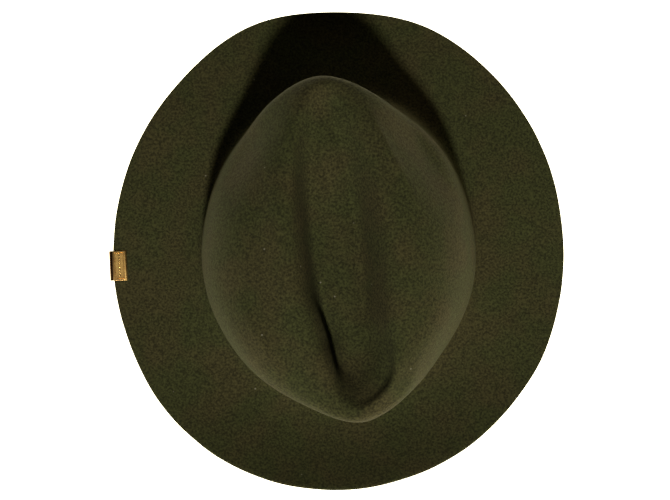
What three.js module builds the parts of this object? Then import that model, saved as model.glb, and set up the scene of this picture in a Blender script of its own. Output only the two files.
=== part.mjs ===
// A soft felt hat: a crown with a long centre dent and pinched corners, a snap brim that dips at the
// front and turns up at the back, and a small brass clip folded over the brim's left edge.
// Millimetres. +X is the wearer's right, +Y the front, +Z up. The brim stands on z = 0.

import * as THREE from "three";

// ---------------------------------------------------------------- driving dimensions

const FELT = 2.2; // thickness of the felt everywhere
const MERIDIANS = 64; // lines that run from the crown's centre out to the brim's edge
const FLOOR_SNAP = 0.05; // the under face is laid flat where it comes this close to the floor

const CLIP = {
  width: 20, // along the brim's edge
  reach: 9.1, // length of each leaf, from the middle of the fold
  metal: 0.8, // thickness of the brass
  gap: 0.35, // clearance between the brass and the felt
  setBack: 0.3, // the fold's centre lies this far inside the felt's edge
  bevel: 0.18, // softened edges
  arcSteps: 12, // facets round the fold
  turn: 182.4, // degrees round the brim from +X
};

// ---------------------------------------------------------------- shape tables

// Gives each row of a table its column names.
function rowsOf(columns, rows) {
  return rows.map((row) => Object.fromEntries(columns.map((column, i) => [column, row[i]])));
}

// Plan outlines, one row for each 22.5 degrees of meridian, from the right side round by the front.
// The block is the soft-cornered diamond that the crown is pulled over.
const OUTLINES = {
  block: {
    reach: { right: 85, left: 85, front: 104, back: 105.5 },
    points: [
      { x: 85.2, y: -6 },
      { x: 79.5, y: 28 },
      { x: 62.5, y: 63.5 },
      { x: 28.5, y: 91 },
      { x: -11, y: 104.2 },
      { x: -39, y: 92 },
      { x: -64.5, y: 63.5 },
      { x: -80, y: 28 },
      { x: -85.2, y: -8 },
      { x: -76, y: -46 },
      { x: -54, y: -77 },
      { x: -21, y: -96.5 },
      { x: 16, y: -106 },
      { x: 43, y: -91.5 },
      { x: 65, y: -63.5 },
      { x: 80, y: -35 },
    ],
  },
  brim: {
    reach: { right: 151, left: 151, front: 160, back: 160.5 },
    points: [
      { x: 151.5, y: -1 },
      { x: 140.3, y: 59.4 },
      { x: 108.2, y: 112.7 },
      { x: 60.3, y: 149.8 },
      { x: 0, y: 160 },
      { x: -60.2, y: 150.6 },
      { x: -108.1, y: 112.1 },
      { x: -140.3, y: 58.6 },
      { x: -152, y: -6 },
      { x: -140.6, y: -64.1 },
      { x: -109, y: -115.5 },
      { x: -58.8, y: -149.6 },
      { x: 0, y: -160.1 },
      { x: 58, y: -147.3 },
      { x: 107.6, y: -113.9 },
      { x: 141, y: -63 },
    ],
  },
};

// Sections of the felt's upper face, from the middle of the dent out to the brim's edge.
//   right..back  reach from the middle along each axis
//   outline      the outline that the section leans on, and share is how much: 0 is a plain oval
//   lean         how far the oval slides to the left for each millimetre to the front
//   zSides..     height at the two sides, the front and the back
//   flank        how far the four flanks between them hang below that
//   steps        rings of facets between the section before and this one
const SECTIONS = rowsOf(
  [
    ...["name", "right", "left", "front", "back", "outline", "share", "lean"],
    ...["zSides", "zFront", "zBack", "flank", "steps"],
  ],
  [
    ["dent floor", 0, 0, 62, 68, "block", 0, 0.12, 84.5, 91, 87, 0, 0],
    ["floor side", 7.5, 9, 73, 75, "block", 0, 0.12, 83.5, 93.5, 88.5, 0, 1],
    ["groove", 13, 15, 82, 82, "block", 0, 0.12, 82.5, 96, 90.5, 0, 2],
    ["dent wall", 21, 20.5, 88, 90, "block", 0, 0.12, 96, 98, 95, 0, 2],
    ["crest", 31, 28.5, 93.5, 97, "block", 0.15, 0.12, 108.5, 99.5, 101.5, -1, 3],
    ["lobe", 47.5, 48, 98, 101.5, "block", 0.6, 0.12, 106, 99.5, 101.5, 2, 2],
    ["shoulder", 64, 66.5, 101.5, 104, "block", 0.9, 0.1, 95, 96, 98.5, 3.5, 2],
    ["upper wall", 75.5, 79, 103.6, 105.4, "block", 1, 0.1, 79, 90, 91, 2, 2],
    ["wall", 84, 86.1, 104.2, 106, "block", 1, 0.1, 57, 74, 74, 0, 2],
    ["middle wall", 88.8, 88.8, 103.6, 105, "block", 0.7, 0.06, 38, 48, 45, 0, 2],
    ["low wall", 90.2, 90.2, 102.5, 104, "block", 0.2, 0.02, 23, 27, 20, 0, 2],
    ["root", 90.6, 90.6, 103.6, 105.4, "brim", 0, 0, 13.5, 17, 9, 0, 1],
    ["break", 96, 96, 108.5, 110.5, "brim", 0, 0, 9, 12, 1.4, 0, 2],
    ["inner brim", 108, 108, 119.5, 121.5, "brim", 0.2, 0, 8.2, 9.4, 1, 0, 1],
    ["middle brim", 124, 124, 136, 136, "brim", 0.6, 0, 8.8, 5.4, 7, 0, 1],
    ["outer brim", 140, 140, 151.5, 150, "brim", 1, 0, 9.9, 1.6, 15.8, 0, 1],
    ["edge", 151, 151, 160, 160.6, "brim", 1, 0, 10.8, 0, 23, 0, 1],
  ],
);

// Places where the damp felt was pushed: a centre, the reach across and along the push, the plan
// direction of its long axis in degrees, its reach in height, and how far the felt moves.
const PUSHES = rowsOf(
  ["name", "x", "y", "z", "across", "along", "turn", "tall", "dx", "dy", "dz"],
  [
    ["front right pinch", 52, 62, 94, 22, 40, -52, 26, -2, -2, -5],
    ["front right facet", 66, 60, 84, 22, 40, -59, 30, 0, 0, -5],
    ["front left facet", -68, 60, 84, 22, 40, 59, 30, 1, -0.6, -7],
    ["front left wall", -70, 62, 50, 26, 44, 59, 40, 1.6, -1, 0],
    ["rear left shoulder", -50, -58, 92, 18, 42, -48, 26, -1.5, -1.5, 2.5],
    ["rear right shoulder", 52, -52, 92, 18, 38, 48, 26, 1.5, -1.5, 2.5],
    ["rear fold", -6, -57, 82, 11, 36, -74, 18, -2, 0, -7],
    ["lip over the fold", -15, -57, 98, 16, 40, -74, 20, 5, 0, 0],
    ["rear bend", 14, -78, 90, 20, 22, -80, 20, 2.5, 0, 0],
    ["rear right rim", 27, -74, 97, 28, 34, -80, 30, 8, 0, 0],
  ],
);

// ---------------------------------------------------------------- the felt's upper face

const outlineCurves = Object.fromEntries(
  Object.entries(OUTLINES).map(([name, outline]) => [
    name,
    new THREE.CatmullRomCurve3(outline.points.map((p) => new THREE.Vector3(p.x, p.y, 0)), true),
  ]),
);

function sectionPoint(section, turn) {
  const c = Math.cos(turn);
  const s = Math.sin(turn);
  const reachX = c >= 0 ? section.right : section.left;
  const reachY = s >= 0 ? section.front : section.back;
  const oval = new THREE.Vector2(reachX * c - section.lean * reachY * s, reachY * s);

  const full = OUTLINES[section.outline].reach;
  const outline = outlineCurves[section.outline].getPoint(turn / (2 * Math.PI));
  outline.x *= reachX / (c >= 0 ? full.right : full.left);
  outline.y *= reachY / (s >= 0 ? full.front : full.back);

  const zEnd = s >= 0 ? section.zFront : section.zBack;
  return new THREE.Vector3(
    THREE.MathUtils.lerp(oval.x, outline.x, section.share),
    THREE.MathUtils.lerp(oval.y, outline.y, section.share),
    section.zSides * c * c + zEnd * s * s - section.flank * Math.sin(2 * turn) ** 2,
  );
}

function pushed(point) {
  const moved = point.clone();
  for (const push of PUSHES) {
    const turn = THREE.MathUtils.degToRad(push.turn);
    const x = point.x - push.x;
    const y = point.y - push.y;
    const along = (x * Math.cos(turn) + y * Math.sin(turn)) / push.along;
    const across = (y * Math.cos(turn) - x * Math.sin(turn)) / push.across;
    const up = (point.z - push.z) / push.tall;
    const share = Math.max(0, 1 - along ** 2 - across ** 2 - up ** 2) ** 2;
    moved.add(new THREE.Vector3(push.dx, push.dy, push.dz).multiplyScalar(share));
  }
  moved.z = Math.max(moved.z, FELT);
  return moved;
}

// All the points of one meridian, from the middle of the dent out to the brim's edge.
function meridian(turn) {
  const path = new THREE.CatmullRomCurve3(SECTIONS.map((section) => sectionPoint(section, turn)));
  const spans = SECTIONS.length - 1;
  const points = [pushed(path.getPoint(0))];
  for (let span = 0; span < spans; span++) {
    const steps = SECTIONS[span + 1].steps;
    for (let step = 1; step <= steps; step++) {
      points.push(pushed(path.getPoint((span + step / steps) / spans)));
    }
  }
  return points;
}

// ---------------------------------------------------------------- closed felt body

function feltGeometry() {
  const lines = Array.from({ length: MERIDIANS }, (_, i) => meridian((2 * Math.PI * i) / MERIDIANS));
  const rings = lines[0].length;

  // The left and right meridians start on one line down the dent, so they share its points.
  const upper = [];
  const index = lines.map((line, i) =>
    line.map((point, k) => {
      const mirror = (MERIDIANS / 2 - i + MERIDIANS) % MERIDIANS;
      if (k === 0 && mirror < i) return null;
      return upper.push(point) - 1;
    }),
  );
  for (let i = 0; i < MERIDIANS; i++) {
    const mirror = (MERIDIANS / 2 - i + MERIDIANS) % MERIDIANS;
    index[i][0] ??= index[mirror][0];
  }

  const faces = [];
  for (let i = 0; i < MERIDIANS; i++) {
    const here = index[i];
    const next = index[(i + 1) % MERIDIANS];
    for (let k = 0; k < rings - 1; k++) {
      faces.push([here[k], here[k + 1], next[k + 1]]);
      if (here[k] !== next[k]) faces.push([here[k], next[k + 1], next[k]]);
    }
  }

  const normals = upper.map(() => new THREE.Vector3());
  for (const [a, b, c] of faces) {
    const ab = upper[b].clone().sub(upper[a]);
    const area = upper[c].clone().sub(upper[a]).cross(ab).negate();
    for (const corner of [a, b, c]) normals[corner].add(area);
  }
  const under = upper.map((point, n) => {
    const inner = point.clone().addScaledVector(normals[n].normalize(), -FELT);
    if (inner.z < FLOOR_SNAP) inner.z = 0;
    return inner;
  });

  const shift = upper.length;
  const underFaces = faces.map(([a, b, c]) => [a + shift, c + shift, b + shift]);
  const edgeFaces = [];
  for (let i = 0; i < MERIDIANS; i++) {
    const a = index[i][rings - 1];
    const b = index[(i + 1) % MERIDIANS][rings - 1];
    edgeFaces.push([a, a + shift, b + shift], [a, b + shift, b]);
  }

  const geometry = new THREE.BufferGeometry();
  const points = [...upper, ...under].flatMap((p) => [p.x, p.y, p.z]);
  geometry.setAttribute("position", new THREE.Float32BufferAttribute(points, 3));
  geometry.setIndex([...faces, ...underFaces, ...edgeFaces].flat());
  geometry.computeVertexNormals();
  return geometry;
}

const felt = new THREE.Mesh(
  feltGeometry(),
  new THREE.MeshStandardMaterial({ color: 0x302f1c, roughness: 0.95, metalness: 0 }),
);
felt.name = "felt_body";

// ---------------------------------------------------------------- brass clip

// Side view of the folded strip: x points out of the brim's edge, y up, and the fold's centre is 0, 0.
function clipProfile() {
  const inner = FELT / 2 + CLIP.gap;
  const outer = inner + CLIP.metal;
  const profile = new THREE.Shape();
  profile.moveTo(-CLIP.reach, outer);
  profile.absarc(0, 0, outer, Math.PI / 2, -Math.PI / 2, true);
  profile.lineTo(-CLIP.reach, -outer);
  profile.lineTo(-CLIP.reach, -inner);
  profile.absarc(0, 0, inner, -Math.PI / 2, Math.PI / 2, false);
  profile.lineTo(-CLIP.reach, inner);
  profile.closePath();
  return profile;
}

function clipGeometry() {
  const geometry = new THREE.ExtrudeGeometry(clipProfile(), {
    depth: CLIP.width - 2 * CLIP.bevel,
    curveSegments: CLIP.arcSteps,
    bevelEnabled: true,
    bevelThickness: CLIP.bevel,
    bevelSize: CLIP.bevel,
    bevelOffset: -CLIP.bevel,
    bevelSegments: 1,
  });
  return geometry.translate(0, 0, CLIP.bevel - CLIP.width / 2);
}

// The clip's frame follows the felt that it grips: out across the edge, and along it.
function placeClip(mesh) {
  const turn = THREE.MathUtils.degToRad(CLIP.turn);
  const half = CLIP.width / 2 / OUTLINES.brim.reach.left;
  const [before, middle, after] = [turn - half, turn, turn + half].map((t) => meridian(t));
  const edge = middle.at(-1);
  const along = after.at(-1).clone().sub(before.at(-1)).normalize();
  const out = edge.clone().sub(middle.at(-2));
  out.addScaledVector(along, -out.dot(along)).normalize();
  const up = new THREE.Vector3().crossVectors(along, out).negate();
  mesh.quaternion.setFromRotationMatrix(new THREE.Matrix4().makeBasis(out, up, along.clone().negate()));
  mesh.position.copy(edge).addScaledVector(up, -FELT / 2).addScaledVector(out, -CLIP.setBack);
}

const clip = new THREE.Mesh(
  clipGeometry(),
  new THREE.MeshStandardMaterial({ color: 0x86693a, roughness: 0.35, metalness: 1 }),
);
clip.name = "brim_clip";
placeClip(clip);

// ---------------------------------------------------------------- the hat

const hat = new THREE.Group();
hat.name = "felt_hat";
hat.add(felt, clip);

export default hat;
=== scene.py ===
# %% [markdown]
# # A soft felt hat with a brass clip
# The real hat is one piece of fur felt: a wet cone is pulled over a block, the top is dented and
# pinched by hand, and the rim is ironed out flat as a brim. A strip of brass is folded over the
# brim's left edge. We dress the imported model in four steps: the felt's form, the felt's finish,
# the clip, and the light. Everything is in metres, +Z up, and the front of the hat looks along +Y.

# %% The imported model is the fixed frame
import math

import bmesh
import bpy
import numpy as np
from mathutils import Matrix, Vector, noise


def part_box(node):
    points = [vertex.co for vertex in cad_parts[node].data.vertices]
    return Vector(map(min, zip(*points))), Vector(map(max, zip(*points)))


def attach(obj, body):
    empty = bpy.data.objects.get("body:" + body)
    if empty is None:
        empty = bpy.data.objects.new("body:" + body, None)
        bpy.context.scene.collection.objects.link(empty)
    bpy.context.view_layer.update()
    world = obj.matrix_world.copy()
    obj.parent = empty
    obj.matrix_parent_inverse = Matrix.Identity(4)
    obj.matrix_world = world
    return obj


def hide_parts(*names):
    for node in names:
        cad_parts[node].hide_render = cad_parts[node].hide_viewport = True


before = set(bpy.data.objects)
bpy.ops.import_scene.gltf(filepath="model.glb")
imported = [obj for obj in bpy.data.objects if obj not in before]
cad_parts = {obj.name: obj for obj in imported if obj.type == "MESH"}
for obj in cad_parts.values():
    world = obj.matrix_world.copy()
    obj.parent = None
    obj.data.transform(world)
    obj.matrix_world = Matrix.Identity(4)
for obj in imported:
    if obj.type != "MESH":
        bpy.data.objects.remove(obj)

MM = 0.001
scene = bpy.context.scene
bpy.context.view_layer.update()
felt_low, felt_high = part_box("felt_body")
clip_low, clip_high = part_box("brim_clip")
print("felt", [round(size / MM, 1) for size in felt_high - felt_low], "mm")

# %% [markdown]
# ## Camera
# The hat lies on a table and we look straight down on it, so the camera needs no turn at all: a
# new camera already looks along -Z with +Y up. It could be placed by eye, but it is safer to state
# the strip of floor that it must see and let the lens follow from that.

# %% Camera
CAMERA_HEIGHT = 0.8
FLOOR_SEEN = 0.4558  # width of floor in view
AIM = (-0.0024, -0.0017)

camera = bpy.data.objects.new("camera", bpy.data.cameras.new("camera"))
scene.collection.objects.link(camera)
camera.location = (*AIM, CAMERA_HEIGHT)
camera.data.lens = camera.data.sensor_width * CAMERA_HEIGHT / FLOOR_SEEN
scene.camera = camera
print("lens", round(camera.data.lens, 1), "mm")

# %% [markdown]
# ## The felt's form
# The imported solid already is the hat, walls and hollow included, but in facets. We could smooth it
# with shading alone, yet its outline would still show corners. So we copy it, weld the loose
# triangles, pair them into quads and let two levels of subdivision round it off. The two rims of
# the cut edge are creased, so that the brim keeps the square edge that the knife left. The dent has
# sharp bends too, but those are soft felt, so only edges far out from the middle count as a rim.

# %% Weld a copy of the solid and subdivide it
RIM_CREASE = 1.0
RIM_BEYOND = 130 * MM  # from the middle of the hat: only the brim's rim lies so far out
RIM_ANGLE = math.radians(60)  # two faces that meet more sharply than this make a rim
WELD = 0.001 * MM
SMOOTH_LEVELS = 2


def object_from(mesh, name):
    """A new object at the origin that shows the mesh."""
    made = bpy.data.objects.new(name, mesh)
    scene.collection.objects.link(made)
    return made


def sharp_rim(shape, angle):
    """The edges of the brim's rim where two faces meet more sharply than the angle."""
    sharp = [edge for edge in shape.edges if edge.calc_face_angle(0) > angle]
    return [edge for edge in sharp if all(v.co.xy.length > RIM_BEYOND for v in edge.verts)]


def smooth_copy(node, name):
    """A welded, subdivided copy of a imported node, creased along the two rims of its cut edge."""
    shape = bmesh.new()
    shape.from_mesh(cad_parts[node].data)
    bmesh.ops.remove_doubles(shape, verts=shape.verts, dist=WELD)
    bmesh.ops.join_triangles(
        shape,
        faces=shape.faces,
        angle_face_threshold=RIM_ANGLE,
        angle_shape_threshold=math.pi,
    )
    crease = shape.edges.layers.float.new("crease_edge")
    for edge in sharp_rim(shape, RIM_ANGLE):
        edge[crease] = RIM_CREASE
    mesh = bpy.data.meshes.new(name)
    shape.to_mesh(mesh)
    shape.free()

    piece = object_from(mesh, name)
    rounder = piece.modifiers.new("round", "SUBSURF")
    rounder.levels = rounder.render_levels = SMOOTH_LEVELS
    piece.data = bpy.data.meshes.new_from_object(
        piece.evaluated_get(bpy.context.evaluated_depsgraph_get())
    )
    piece.modifiers.clear()
    piece.data.name = name
    return piece


hat = smooth_copy("felt_body", "hat_felt")
triangles = [len(face.vertices) for face in hat.data.polygons].count(3)
print("felt faces", len(hat.data.polygons), "of them triangles", triangles)

# %% [markdown]
# The knife's cut is the one place where felt shows its inside. The fine dark line that runs all
# round
# the brim is painted shade: the cut edge gets a much darker copy of the felt, without gloss or
# sheen.
# We round the two rims with a bevel, and give the new faces and the strip between them a material
# index of their own. The bevel does both in one step.

# %% Round the cut edge and mark its painted shade
EDGE_ROUND = 0.8 * MM
EDGE_STEPS = 3
EDGE_ANGLE = math.radians(40)  # subdivision has eased the rim a little
UPRIGHT = 0.5  # a face whose normal rises less than this stands on edge
ROUND_PROFILE = 0.5  # a bevel's profile that is a true arc
# The cut edge's material is the felt darkened to paint its shade.
SHADED_CUT_EDGE = 1  # index of the cut edge's material


def round_cut_edge(piece):
    """Bevels the two rims of the brim and marks the bevels and the strip between them for painted
    shade.
    """
    shape = bmesh.new()
    shape.from_mesh(piece.data)
    rims = sharp_rim(shape, EDGE_ANGLE)
    for edge in rims:
        for face in edge.link_faces:
            if abs(face.normal.z) < UPRIGHT:
                face.material_index = SHADED_CUT_EDGE
    bmesh.ops.bevel(
        shape,
        geom=rims,
        offset=EDGE_ROUND,
        segments=EDGE_STEPS,
        profile=ROUND_PROFILE,
        affect="EDGES",
        material=SHADED_CUT_EDGE,
    )
    shape.to_mesh(piece.data)
    shape.free()
    return len(rims)


print("rim edges", round_cut_edge(hat))

# %% [markdown]
# ## Folds that the hand left
# Felt keeps every touch: a sharp fold at the back of the dent, soft grooves beside it, two flat
# facets where fingers and thumb pinched the front, and a raised line along one of them. Sculpt
# brushes would do, but a short table of lines can be read and changed. Each fold is a line in plan
# with a depth and a width at every station, and the felt under it sinks, or rises where the depth is
# negative, with both faces moving together. Down the crown's wall the folds fade out.

# %% A fold sinks the felt along a line
FOLDS_FROM = 50.0  # mm: height on the crown's wall where the folds begin
FOLDS_FULL = 78.0  # mm: height from which they have their full depth


def points_of(mesh):
    """The mesh's points in millimetres, one row each."""
    flat = np.empty(3 * len(mesh.vertices))
    mesh.vertices.foreach_get("co", flat)
    return flat.reshape(-1, 3) / MM


def set_points(mesh, points):
    """Moves the mesh's points to these places, given in millimetres."""
    mesh.vertices.foreach_set("co", (points * MM).ravel())
    mesh.update()


def fine_line(stations, spacing=1.5, rounds=4):
    """The stations' rows at an even spacing along the line, with the corners worn round."""
    rows = np.array(stations, float)
    travelled = np.concatenate([[0], np.cumsum(np.hypot(*np.diff(rows[:, :2], axis=0).T))])
    even = np.linspace(0, travelled[-1], max(3, round(travelled[-1] / spacing)))
    fine = np.stack([np.interp(even, travelled, column) for column in rows.T], axis=1)
    for _ in range(rounds):
        fine[1:-1] = (fine[:-2] + 2 * fine[1:-1] + fine[2:]) / 4
    return fine


def nearest_station(points, line):
    """For each point: the line's row next to it, and its signed distance, positive on the right."""
    apart = points[:, None, :2] - line[None, :, :2]
    near = np.argmin(np.einsum("nkd,nkd->nk", apart, apart), axis=1)
    ahead = np.gradient(line[:, :2], axis=0)
    ahead /= np.linalg.norm(ahead, axis=1)[:, None]
    gap = apart[np.arange(len(points)), near]
    side = gap[:, 0] * ahead[near, 1] - gap[:, 1] * ahead[near, 0]
    return line[near], np.copysign(np.hypot(gap[:, 0], gap[:, 1]), side)


# %% [markdown]
# The lines run from the front of the hat to the back. The columns are x, y, depth and width, all in
# millimetres, and a depth of 0 at an end lets the fold fade out.

# %% The crown's folds
FOLDS = {
    "left groove": [
        (-27, 80, 0, 5),
        (-24, 63, 1.5, 4),
        (-21, 28, 2.0, 3),
        (-16, -14, 2.0, 3),
        (-12, -36, 1.5, 4),
        (-8, -49, 4.5, 5.5),
        (-6, -56, 7.0, 6),
        (-4, -63, 3.0, 5.5),
        (0, -70, 0.5, 5),
        (4, -80, 0, 5),
    ],
    "right groove": [
        (5, 82, 0, 8),
        (14, 52, 1.5, 7),
        (15, 10, 2.0, 6),
        (15, -38, 1.5, 6),
        (22, -60, 0, 8),
    ],
    "middle swell": [
        (-6, 80, 0, 8),
        (-5, 50, -1.5, 8),
        (-1, 0, -2, 8),
        (5, -40, -1.5, 7),
        (10, -66, 0, 7),
    ],
    "left ridge": [
        (-44, 52, 0, 8),
        (-36, 24, -1.4, 7),
        (-30, -18, -1.8, 6),
        (-24, -52, -1.0, 6),
        (-12, -78, 0, 6),
    ],
    "left lobe hollow": [
        (-46, 48, 0, 8),
        (-49, 10, 1.8, 8),
        (-47, -20, 1.2, 8),
        (-42, -44, 0, 8),
    ],
    "front pinch line": [
        (14, 90, 0, 3.5),
        (23, 72, -2.2, 2.8),
        (32, 54, -2.6, 2.8),
        (43, 34, -1.6, 3.4),
        (50, 14, 0, 6),
    ],
    "front right facet": [
        (30, 94, 0, 9),
        (41, 79, 4.0, 11),
        (53, 60, 6.5, 12),
        (64, 40, 5.5, 13),
        (72, 14, 0, 12),
    ],
    "front left facet": [
        (-28, 93, 0, 9),
        (-42, 79, 4.0, 10),
        (-55, 61, 6.5, 11),
        (-65, 42, 4.5, 11),
        (-73, 20, 0, 10),
    ],
    "front floor rise": [
        (-6, 84, 1.5, 11),
        (-7, 72, -1.0, 12),
        (-7, 60, -4.0, 13),
        (-5, 44, -3.0, 13),
        (-3, 24, 0, 12),
    ],
    "rear pocket fill": [
        (34, -56, 0, 9),
        (28, -68, -3.5, 10),
        (22, -80, -5, 10),
        (12, -90, -4, 9),
        (4, -95, 0, 8),
    ],
    "rear right crest": [
        (46, -58, 0, 8),
        (40, -76, 2.2, 9),
        (28, -91, 2.6, 8),
        (14, -99, 0, 6),
    ],
    "rear left line": [
        (-64, -24, 0, 5),
        (-54, -42, -1.5, 4.5),
        (-44, -60, -1.5, 4.5),
        (-34, -76, 0, 5),
    ],
}


def fold(points, stations):
    """Moves the crown's points up or down along one line."""
    top = points[:, 2] > FOLDS_FROM
    row, gap = nearest_station(points[top], fine_line(stations))
    share = np.clip((points[top, 2] - FOLDS_FROM) / (FOLDS_FULL - FOLDS_FROM), 0, 1)
    points[top, 2] -= share * row[:, 2] * np.exp(-((gap / row[:, 3]) ** 2))


felt_points = points_of(hat.data)
before_folds = felt_points.copy()
for stations in FOLDS.values():
    fold(felt_points, stations)
moved = np.linalg.norm(felt_points - before_folds, axis=1)
print("folds", len(FOLDS), "deepest", round(moved.max(), 1), "mm")

# %% [markdown]
# ## A little unevenness
# No hand-blocked felt is a perfect surface. We could add a noise texture as displacement, but the
# wall has two faces and they must stay parallel, so one smooth field of vectors moves all points.
# It fades out near the table, where the felt lies flat.

# %% Soft unevenness
WAVES = [  # reach and height of each size of wave, mm
    (55, 0.7),
    (22, 0.25),
]
WAVE_SEED = 1  # without a seed the field would differ from run to run
CALM_BELOW = 1.0
FULL_ABOVE = 8.0


def uneven(points):
    """Shifts the points by a smooth random field, the same one every run."""
    noise.seed_set(WAVE_SEED)
    calm = np.clip((points[:, 2] - CALM_BELOW) / (FULL_ABOVE - CALM_BELOW), 0, 1)
    for reach, height in WAVES:
        field = np.array([noise.noise_vector(Vector(point) / reach) for point in points])
        points += field * (height * calm)[:, None]
    points[:, 2] = np.maximum(points[:, 2], 0)


uneven(felt_points)
set_points(hat.data, felt_points)
hat.data.shade_smooth()
print("felt stands", round(felt_points[:, 2].max(), 1), "mm high")

# %% [markdown]
# ## Helpers for finishes
# A finish is a small tree of shader nodes. Clicking them together in the editor is fine for one,
# but in code a helper that makes a node and wires its inputs keeps each tree readable.

# %% Shader helpers
def shader_node(tree, kind, inputs=None, **settings):
    """A node with its settings, and its inputs given as sockets to link or as plain values."""
    node = tree.nodes.new(kind)
    for name, value in settings.items():
        setattr(node, name, value)
    for name, value in (inputs or {}).items():
        if isinstance(value, bpy.types.NodeSocket):
            tree.links.new(value, node.inputs[name])
        else:
            node.inputs[name].default_value = value
    return node


def new_finish(name, **constants):
    """A material with its Principled shader, whose plain sockets are set at once."""
    finish = bpy.data.materials.new(name)
    finish.use_nodes = True
    shader = finish.node_tree.nodes["Principled BSDF"]
    for socket, value in constants.items():
        shader.inputs[socket.replace("_", " ")].default_value = value
    return finish, finish.node_tree, shader


def grain(tree, place, size, detail=2.0, roughness=0.5):
    """Noise whose blots are about size metres across."""
    noise_node = shader_node(
        tree,
        "ShaderNodeTexNoise",
        {"Vector": place, "Scale": 1 / size, "Detail": detail, "Roughness": roughness},
    )
    return noise_node.outputs["Fac"]


def spread(tree, value, low, high, to_low=0.0, to_high=1.0):
    """Stretches a value from one range to another and clamps it there."""
    ranged = shader_node(
        tree,
        "ShaderNodeMapRange",
        {"Value": value, "From Min": low, "From Max": high, "To Min": to_low, "To Max": to_high},
    )
    return ranged.outputs["Result"]


def blend(tree, share, first, second, mode="MIX"):
    """Two colours mixed by a share."""
    mixer = shader_node(tree, "ShaderNodeMix", data_type="RGBA", blend_type=mode)
    for index, value in ((0, share), (6, first), (7, second)):
        if isinstance(value, bpy.types.NodeSocket):
            tree.links.new(value, mixer.inputs[index])
        else:
            mixer.inputs[index].default_value = value
    return mixer.outputs[2]


def combine(tree, operation, first, second):
    """Two values combined by an operation of arithmetic."""
    return shader_node(
        tree, "ShaderNodeMath", {0: first, 1: second}, operation=operation
    ).outputs[0]


def add_bump(tree, shader, height, strength, depth):
    """Feeds a height into the shader's normal."""
    bump = shader_node(
        tree, "ShaderNodeBump", {"Height": height, "Strength": strength, "Distance": depth}
    )
    tree.links.new(bump.outputs["Normal"], shader.inputs["Normal"])


# %% [markdown]
# ## The felt's finish
# Fur felt drinks light face on and glows at its edges, because short hairs stand off the surface.
# A very rough base gives the first. A faint gloss and a trace of sheen give the second: both grow
# towards the outline, and more sheen would brighten the dent's walls too. The colour is dark olive,
# mottled at three sizes: broad greener and browner patches from the dye, clots of fur a millimetre
# or two across, and single pale hairs. All of it reads Object coordinates, so it sticks to the felt.

# %% Felt
FELT_GREEN = (0.0250, 0.0268, 0.0078, 1)
FELT_BROWN = (0.0300, 0.0262, 0.0088, 1)
FELT_HAIR = (0.13, 0.12, 0.08, 1)
FELT_SHEEN = (1.0, 0.9, 0.42, 1)
DYE_PATCH = 30 * MM
FUR_CLOT = 1.4 * MM
FUR_CONTRAST = 0.55  # how far the clots are lighter and darker than the dye
FINE_HAIR = 0.4 * MM
LINT_SPACING = 11 * MM
LINT_CORE, LINT_RIM = 0.035, 0.06  # radius of a pale hair and of its soft rim, in spacings
LINT_KEPT = 0.25  # share of the places that have a pale hair
FUR_RELIEF = 0.25 * MM


def felt_finish(name, shade, gloss, sheen):
    """Mottled olive felt. The shade darkens the fur, gloss and sheen lighten its outline."""
    finish, tree, shader = new_finish(
        name,
        Roughness=0.95,
        Specular_IOR_Level=gloss,
        Sheen_Weight=sheen,
        Sheen_Roughness=0.8,
        Sheen_Tint=FELT_SHEEN,
    )
    place = shader_node(tree, "ShaderNodeTexCoord").outputs["Object"]
    patches = spread(tree, grain(tree, place, DYE_PATCH), 0.4, 0.6)
    clots = grain(tree, place, FUR_CLOT, detail=3, roughness=0.6)
    hairs = grain(tree, place, FINE_HAIR)

    dyed = blend(tree, patches, FELT_GREEN, FELT_BROWN)
    darkest, lightest = (1 - FUR_CONTRAST) * shade, (1 + FUR_CONTRAST) * shade
    clot_shade = spread(tree, clots, 0.36, 0.64, darkest, lightest)
    mottled = blend(tree, 1.0, dyed, clot_shade, mode="MULTIPLY")

    lint = shader_node(tree, "ShaderNodeTexVoronoi", {"Vector": place, "Scale": 1 / LINT_SPACING})
    draw = shader_node(tree, "ShaderNodeSeparateColor", {"Color": lint.outputs["Color"]})
    near = spread(tree, lint.outputs["Distance"], LINT_CORE, LINT_RIM, 1.0, 0.0)
    kept = spread(tree, draw.outputs["Red"], 1 - LINT_KEPT, 1.01 - LINT_KEPT)
    speck = combine(tree, "MULTIPLY", near, kept)
    coloured = blend(tree, speck, mottled, FELT_HAIR)
    tree.links.new(coloured, shader.inputs["Base Color"])

    add_bump(tree, shader, combine(tree, "ADD", clots, hairs), 0.6, FUR_RELIEF)
    return finish


hat.data.materials.clear()
hat.data.materials.append(felt_finish("olive felt", shade=1.0, gloss=0.11, sheen=0.02))
# Painted shade: the cut edge is the same felt, darkened to an eighth, without gloss or sheen.
hat.data.materials.append(felt_finish("cut felt edge painted shade", shade=0.12, gloss=0.0, sheen=0.0))
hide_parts("felt_body")
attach(hat, "root")
print("felt faces", len(hat.data.polygons))

# %% [markdown]
# ## The brass clip
# The real clip is a strip of brass about 20 mm wide, folded round the brim's edge so that two short
# leaves grip the felt. We could bend a plane with a modifier, but a spin is exact: the strip's cross
# section is drawn out along one leaf, spun half round the fold, and drawn out along the other.

# %% Where the clip sits
def own_axes(node):
    """A node's points and its three directions through their centre: the shortest, the middle and
    the longest.
    """
    points = points_of(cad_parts[node].data)
    centre = points.mean(axis=0)
    _, directions = np.linalg.eigh(np.cov((points - centre).T))
    return points, directions.T


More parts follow.
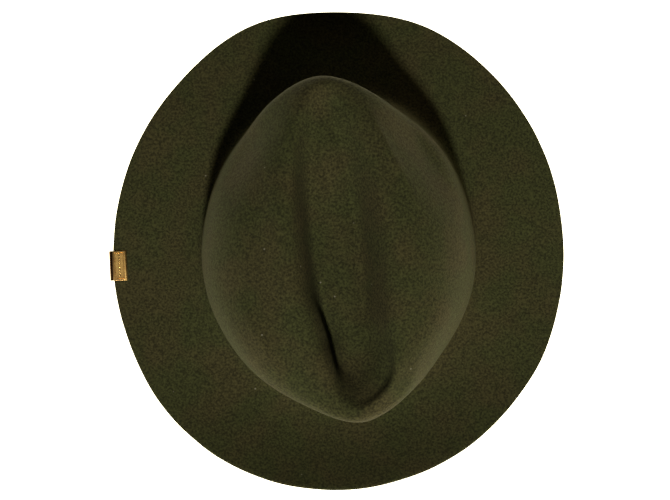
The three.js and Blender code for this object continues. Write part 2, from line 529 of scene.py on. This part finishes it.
clip_points, (up, out, along) = own_axes("brim_clip")
up, out = up * np.sign(up[2]), out * -np.sign(out[0])
along = np.cross(up, out)
clip_axes = np.stack([out, along, up])
in_clip = clip_points @ clip_axes.T
clip_from, clip_to = in_clip.min(axis=0), in_clip.max(axis=0)
clip_place = Matrix(clip_axes.T.tolist()).to_4x4()
CLIP_REACH, CLIP_WIDTH, CLIP_HEIGHT = clip_to - clip_from
print("clip", [round(size, 2) for size in (CLIP_REACH, CLIP_WIDTH, CLIP_HEIGHT)], "mm")

# %% Fold the strip
METAL = 0.8
FOLD_STEPS = 24
CLIP_BEVEL = 0.14
LIP = 0.9  # the upper leaf is filed down over this length at its end
LIP_DROP = 0.16
SAME_LINE = 0.01  # points nearer than this to a line lie on it
# The fold's painted shade is full this far out of its centre and fades out over the next length.
FOLD_SHADE_FROM = 0.5  # the fold is fully brown from this far out of its centre
FOLD_SHADE = 1.8  # the brown fades out over this length
CORNER_ANGLE = math.radians(50)


def drawn_out(shape, edge, length):
    """Extrudes an edge along x and gives the new edge."""
    drawn = bmesh.ops.extrude_edge_only(shape, edges=[edge])["geom"]
    moved = [item for item in drawn if isinstance(item, bmesh.types.BMVert)]
    bmesh.ops.translate(shape, verts=moved, vec=(length, 0, 0))
    return next(
        item
        for item in drawn
        if isinstance(item, bmesh.types.BMEdge) and all(vert in moved for vert in item.verts)
    )


def clip_shape():
    """The folded strip in its own axes, in millimetres: x out of the brim, y along it, z up."""
    outer = CLIP_HEIGHT / 2
    leaf = CLIP_REACH - outer
    shape = bmesh.new()
    corners = [(-leaf, y, z) for y, z in ((0, outer), (0, outer - METAL))]
    ends = [shape.verts.new(corner) for corner in corners]
    edge = shape.edges.new(ends)

    last_edge = drawn_out(shape, drawn_out(shape, edge, LIP), leaf - LIP)
    ends[0].co.z -= LIP_DROP
    spun = bmesh.ops.spin(
        shape,
        geom=[last_edge, *last_edge.verts],
        cent=(0, 0, 0),
        axis=(0, 1, 0),
        angle=math.pi,
        steps=FOLD_STEPS,
    )["geom_last"]
    drawn_out(shape, next(item for item in spun if isinstance(item, bmesh.types.BMEdge)), -leaf)

    side = bmesh.ops.extrude_face_region(shape, geom=shape.faces[:], use_keep_orig=True)["geom"]
    side_verts = [item for item in side if isinstance(item, bmesh.types.BMVert)]
    bmesh.ops.translate(shape, verts=side_verts, vec=(0, CLIP_WIDTH, 0))
    bmesh.ops.translate(shape, verts=shape.verts, vec=(0, -CLIP_WIDTH / 2, 0))
    bmesh.ops.recalc_face_normals(shape, faces=shape.faces)
    return shape


clip_mesh = clip_shape()
print("clip open edges", sum(not edge.is_manifold for edge in clip_mesh.edges))

# %% [markdown]
# A bare rectangle looks like a stand-in, so the face gets what such a stamping has: softened edges,
# a sunk line round a plain border, and a row of small pearls along the middle.

# %% Soften the edges, sink the border line, stamp the pearls
BORDER = 1.7
LINE_WIDTH = 0.32
LINE_DEPTH = 0.14
PEARLS = 8
PEARL_RADIUS = 0.62
PEARL_FLATNESS = 0.7
SOFT_BELOW = math.radians(35)


def stamp_border(shape):
    """Sinks a fine line round the upper leaf's flat face."""
    tops = [face for face in shape.faces if face.normal.z > 0.99 and face.calc_center_median().z > 0]
    face = max(tops, key=lambda item: item.calc_area())
    half_line = LINE_WIDTH / 2
    for inset, depth in ((BORDER, 0), (half_line, -LINE_DEPTH), (half_line, LINE_DEPTH)):
        bmesh.ops.inset_individual(shape, faces=[face], thickness=inset, depth=depth)
    return face.calc_center_median()


def stamp_pearls(shape, middle):
    """A row of flattened beads along the middle of the face."""
    span = CLIP_WIDTH - 4 * BORDER
    for count in range(PEARLS):
        y = middle.y + span * (count / (PEARLS - 1) - 0.5)
        flattened = Matrix.Diagonal((1, 1, PEARL_FLATNESS, 1))
        placed = Matrix.Translation((middle.x, y, middle.z)) @ flattened
        bmesh.ops.create_icosphere(shape, subdivisions=2, radius=PEARL_RADIUS, matrix=placed)


bmesh.ops.bevel(
    clip_mesh,
    geom=[edge for edge in clip_mesh.edges if edge.calc_face_angle(0) > CORNER_ANGLE],
    offset=CLIP_BEVEL,
    segments=3,
    profile=ROUND_PROFILE,
    affect="EDGES",
    material=-1,
)
stamp_pearls(clip_mesh, stamp_border(clip_mesh))

# %% [markdown]
# The fold's dark brown is painted shade. A vertex attribute says how far each point belongs to it,
# and the finish reads that. The line where the filed lip begins stays a crisp edge, because all
# other bends below a limit are shaded smooth.

# %% Mark the fold's painted shade and the crisp lip, and set the clip in its place
fold_shade_layer = clip_mesh.verts.layers.float.new("fold painted shade")
for vert in clip_mesh.verts:
    vert[fold_shade_layer] = min(1, max(0, 1 + (vert.co.x - FOLD_SHADE_FROM) / FOLD_SHADE))
lip_line = CLIP_HEIGHT / 2 - CLIP_REACH + LIP
for edge in clip_mesh.edges:
    on_lip = all(abs(vert.co.x - lip_line) < SAME_LINE for vert in edge.verts)
    edge.smooth = edge.calc_face_angle(0) < SOFT_BELOW and not on_lip

clip_middle = (clip_from + clip_to) / 2
fold_centre = Vector(clip_axes.T @ [clip_to[0] - CLIP_HEIGHT / 2, clip_middle[1], clip_middle[2]])
bmesh.ops.transform(clip_mesh, matrix=clip_place, verts=clip_mesh.verts)
bmesh.ops.translate(clip_mesh, verts=clip_mesh.verts, vec=fold_centre)
bmesh.ops.scale(clip_mesh, vec=(MM, MM, MM), verts=clip_mesh.verts)
clip = object_from(bpy.data.meshes.new("folded_clip"), "folded_clip")
for face in clip_mesh.faces:
    face.smooth = True
clip_mesh.to_mesh(clip.data)
clip_mesh.free()
print("clip faces", len(clip.data.polygons))

# %% [markdown]
# Old brass is never one colour: it has brown stains, and fine brush strokes run along the strip. The
# fold's dark brown is painted shade. The strokes are noise drawn out along one direction by a
# Mapping node. They drive the roughness too, so that the light breaks up along them.

# %% Brass
BRASS = (0.72, 0.45, 0.14, 1)
BRASS_BROWN = (0.50, 0.28, 0.09, 1)
# Painted shade for the fold.
FOLD_PAINTED_SHADE = (0.12, 0.06, 0.025, 1)
STAIN = 5 * MM
STROKE_WIDTH = 0.35 * MM
STROKE_DRAWN_OUT = (1, 0.06, 1)
STROKE_RELIEF = 0.05 * MM


def brass_finish():
    """Golden brass with brown stains, fine strokes and painted shade on the fold."""
    finish, tree, shader = new_finish("aged brass", Metallic=1.0)
    place = shader_node(tree, "ShaderNodeTexCoord").outputs["Object"]
    strokes_place = shader_node(
        tree, "ShaderNodeMapping", {"Vector": place, "Scale": STROKE_DRAWN_OUT}
    ).outputs["Vector"]
    strokes = grain(tree, strokes_place, STROKE_WIDTH, detail=3)
    stains = spread(tree, grain(tree, place, STAIN, detail=4, roughness=0.65), 0.42, 0.68)
    fold_shade_share = shader_node(tree, "ShaderNodeAttribute", attribute_name="fold painted shade").outputs["Fac"]
    aged = blend(tree, stains, BRASS, BRASS_BROWN)
    tree.links.new(blend(tree, fold_shade_share, aged, FOLD_PAINTED_SHADE), shader.inputs["Base Color"])
    tree.links.new(spread(tree, strokes, 0.3, 0.7, 0.2, 0.34), shader.inputs["Roughness"])
    add_bump(tree, shader, strokes, 0.35, STROKE_RELIEF)
    return finish


clip.data.materials.append(brass_finish())
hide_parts("brim_clip")
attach(clip, "root")

# %% [markdown]
# ## Floor and light
# The hat lies on a white sheet that is lit until it burns out. A white diffuse plane under a strong
# lamp would do that too, but the lamp would burn the felt as well, so the sheet glows by itself. Its
# glow comes from below and reaches only the felt that turns away: the crown's walls. One small lamp
# at the back of the hat throws the crown's shadow forward over the brim with a soft edge. Two wide,
# low panes of light, one at the back and a warmer one on the right, lift the walls on those sides. A
# dim pane overhead and a smaller one beside it hardly touch the felt, but they show in the brass.
# Everywhere else it is dark, or the shadow and the folds would fill in.

# %% Floor
FLOOR_WIDTH = 1.0
FLOOR_GREY = 0.12
FLOOR_GLOW = 3.4
FLOOR_COLOUR = (1, 0.94, 0.7, 1)  # the glow is so strong that it still looks pure white

floor_mesh = bmesh.new()
bmesh.ops.create_grid(floor_mesh, x_segments=1, y_segments=1, size=FLOOR_WIDTH / 2)
floor = object_from(bpy.data.meshes.new("floor"), "floor")
floor_mesh.to_mesh(floor.data)
floor_mesh.free()
floor_finish, _, _ = new_finish(
    "white sheet",
    Base_Color=(FLOOR_GREY, FLOOR_GREY, FLOOR_GREY, 1),
    Roughness=1.0,
    Specular_IOR_Level=0.0,
    Emission_Color=FLOOR_COLOUR,
    Emission_Strength=FLOOR_GLOW,
)
floor.data.materials.append(floor_finish)

# %% Lamps
LAMP_DISTANCE = 2.5
LAMPS = [  # name, azimuth and elevation in degrees, width and height in metres, watts, colour
    ("key", -88, 57, 0.24, 0.24, 66, (1.0, 0.98, 0.93)),
    ("low pane", -90, 15, 3.6, 1.3, 21, (1.0, 0.98, 0.93)),
    ("warm side", -20, 9, 3.6, 1.3, 14, (1.0, 0.76, 0.48)),
    ("glint", 60, 86, 1.3, 0.7, 1.4, (1.0, 0.95, 0.85)),
    ("spark", 0, 71, 0.6, 0.2, 0.6, (1.0, 0.95, 0.85)),
]

for name, azimuth, elevation, width, rise, watts, colour in LAMPS:
    lamp = bpy.data.objects.new(name, bpy.data.lights.new(name, "AREA"))
    scene.collection.objects.link(lamp)
    lamp.data.shape = "ELLIPSE" if width == rise else "RECTANGLE"
    lamp.data.size = width
    lamp.data.size_y = rise
    lamp.data.energy = watts
    lamp.data.color = colour
    turn, tilt = math.radians(azimuth), math.radians(elevation)
    ray = Vector((math.cos(turn) * math.cos(tilt), math.sin(turn) * math.cos(tilt), math.sin(tilt)))
    lamp.location = ray * LAMP_DISTANCE
    lamp.rotation_euler = ray.to_track_quat("Z", "Y").to_euler()
print("lamps", len(LAMPS))

# %% Surroundings: dark for the felt, plain white behind the hat
SURROUNDINGS = 0.0
BACKDROP = 1.0

world = bpy.data.worlds.new("surroundings")
world.use_nodes = True
scene.world = world
sky = world.node_tree
seen = shader_node(sky, "ShaderNodeLightPath").outputs["Is Camera Ray"]
strength = shader_node(sky, "ShaderNodeMix", {0: seen, 2: SURROUNDINGS, 3: BACKDROP}).outputs[0]
sky.links.new(strength, sky.nodes["Background"].inputs["Strength"])
sky.nodes["Background"].inputs["Color"].default_value = (1, 1, 1, 1)

scene.view_settings.view_transform = "Standard"
